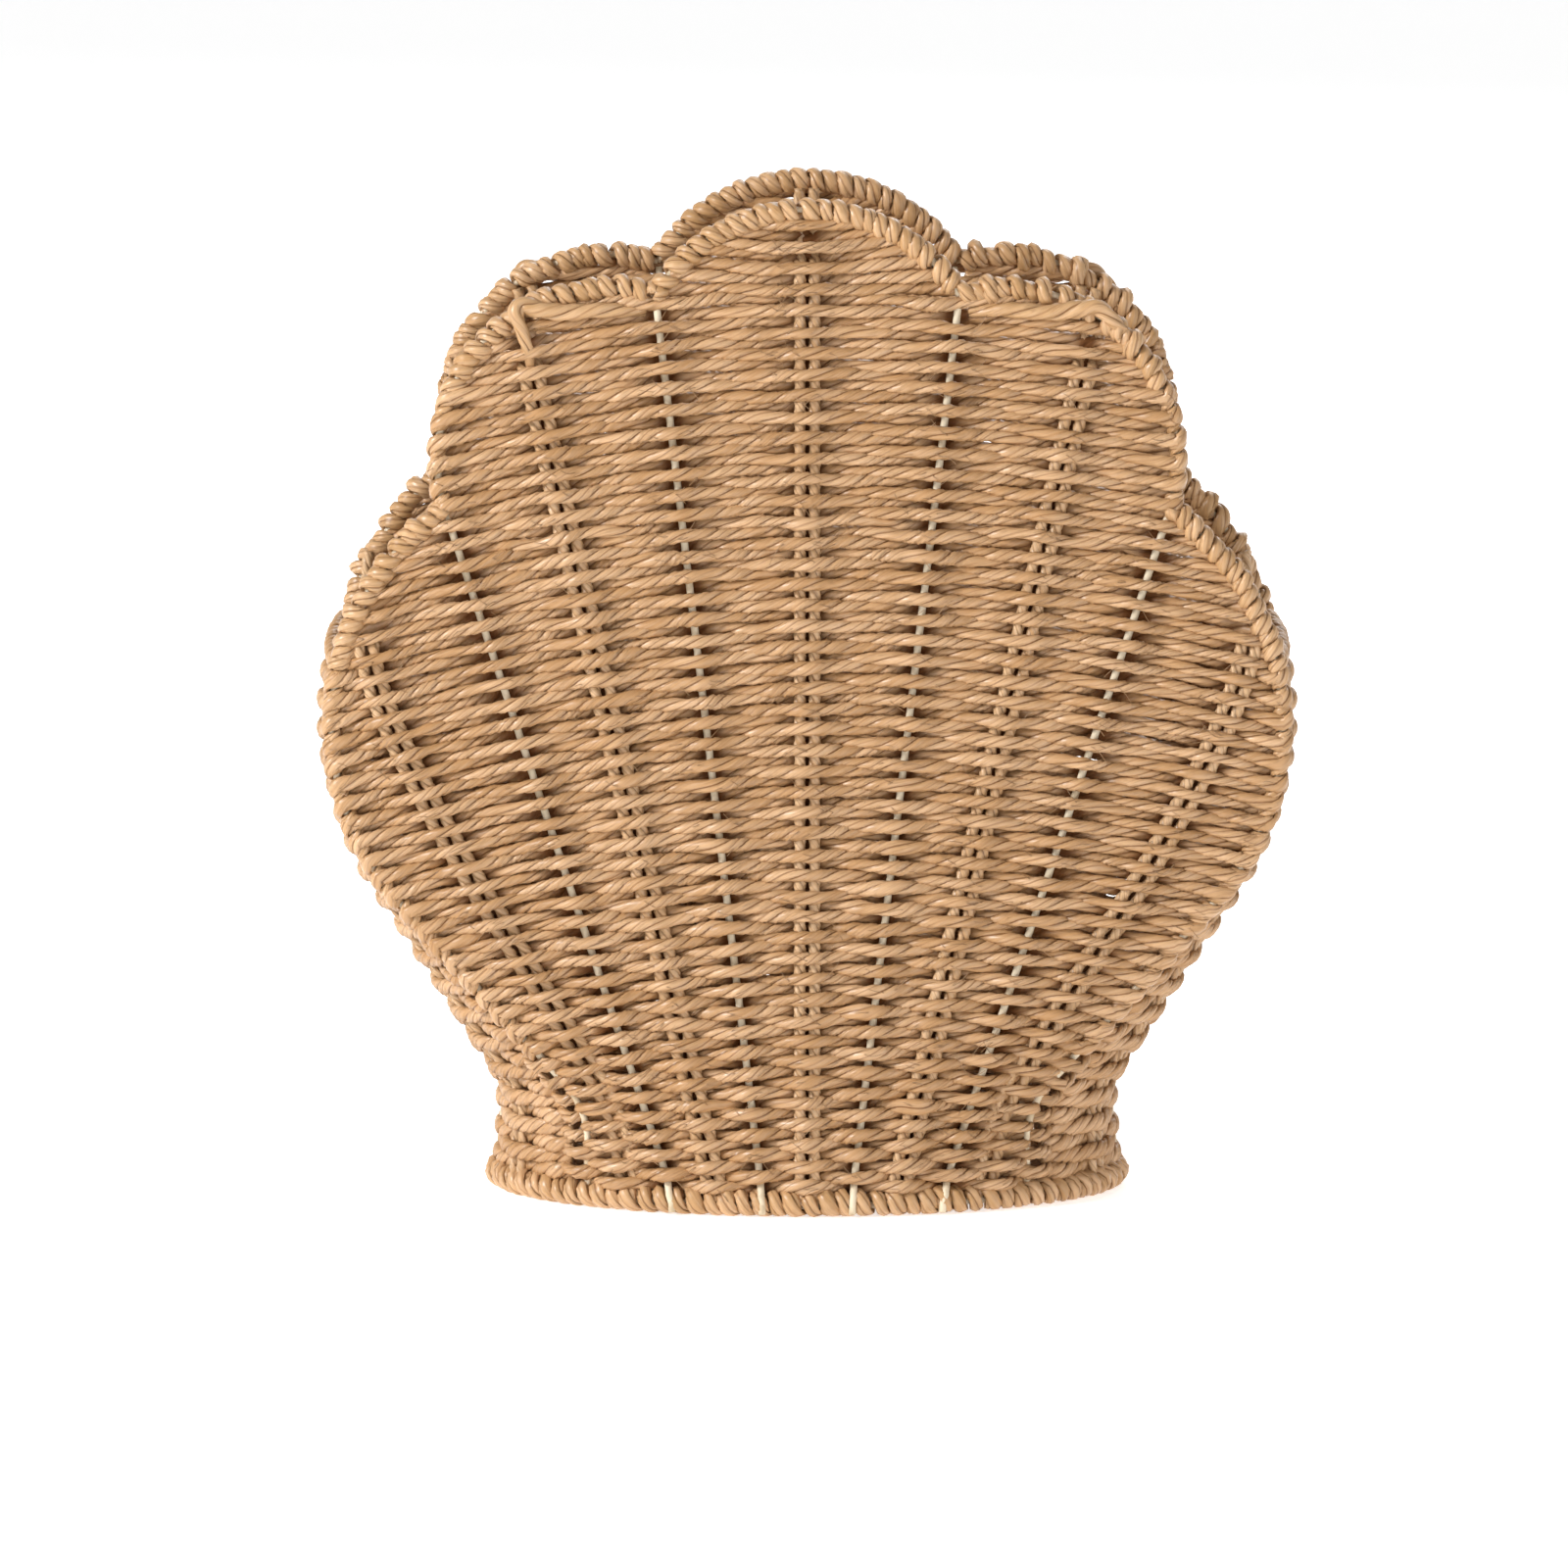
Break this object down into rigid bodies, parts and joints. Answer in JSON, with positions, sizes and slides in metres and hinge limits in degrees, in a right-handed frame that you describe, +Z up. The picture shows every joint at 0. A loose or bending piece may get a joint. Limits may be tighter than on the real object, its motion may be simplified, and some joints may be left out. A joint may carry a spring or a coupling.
{
  "type": "paper rope basket",
  "caption": "Shell-shaped basket of twisted paper rope woven on a painted wire frame, with a scalloped rim, side gussets and an oval base ring.",
  "frame": {"origin": "middle of the underside of the base, on the plane that the base ring stands on", "axes": "+Z up; -Y towards the front panel, the one nearest the camera in the picture; +X to the right seen from the front"},
  "size_m": [0.3378, 0.1466, 0.3463],
  "materials": {
    "woven_rope": "matte",
    "wound_rope": "matte",
    "cream_wire": "satin"
  },
  "bodies": {
    "root": {"back_panel_weave": "woven_rope", "back_ridge_wrap_left": "wound_rope", "back_ridge_wrap_right": "wound_rope", "back_rim_winding_middle": "wound_rope", "back_rim_winding_upper_left": "wound_rope", "back_rim_winding_upper_right": "wound_rope", "back_rim_wire_middle": "cream_wire", "back_rim_wire_side_left": "cream_wire", "back_rim_wire_side_right": "cream_wire", "back_rim_wire_upper_left": "cream_wire", "back_rim_wire_upper_right": "cream_wire", "back_stake_wire_1": "cream_wire", "back_stake_wire_2": "cream_wire", "back_stake_wire_3": "cream_wire", "back_stake_wire_4": "cream_wire", "back_warp_1": "woven_rope", "back_warp_2": "woven_rope", "back_warp_3": "woven_rope", "back_warp_4": "woven_rope", "back_warp_5": "woven_rope", "base_ring_wire": "cream_wire", "base_ring_wrap": "wound_rope", "floor_weave": "woven_rope", "floor_wire_1": "cream_wire", "floor_wire_2": "cream_wire", "floor_wire_3": "cream_wire", "floor_wire_4": "cream_wire", "front_panel_weave": "woven_rope", "front_ridge_wrap_left": "wound_rope", "front_ridge_wrap_right": "wound_rope", "front_rim_winding_middle": "wound_rope", "front_rim_winding_upper_left": "wound_rope", "front_rim_winding_upper_right": "wound_rope", "front_rim_wire_middle": "cream_wire", "front_rim_wire_side_left": "cream_wire", "front_rim_wire_side_right": "cream_wire", "front_rim_wire_upper_left": "cream_wire", "front_rim_wire_upper_right": "cream_wire", "front_stake_wire_1": "cream_wire", "front_stake_wire_2": "cream_wire", "front_stake_wire_3": "cream_wire", "front_stake_wire_4": "cream_wire", "front_warp_1": "woven_rope", "front_warp_2": "woven_rope", "front_warp_3": "woven_rope", "front_warp_4": "woven_rope", "front_warp_5": "woven_rope", "left_gusset_stake_wire": "cream_wire", "left_gusset_warp_back": "woven_rope", "left_gusset_warp_front": "woven_rope", "left_gusset_weave": "woven_rope", "right_gusset_stake_wire": "cream_wire", "right_gusset_warp_back": "woven_rope", "right_gusset_warp_front": "woven_rope", "right_gusset_weave": "woven_rope"}
  },
  "joints": []
}
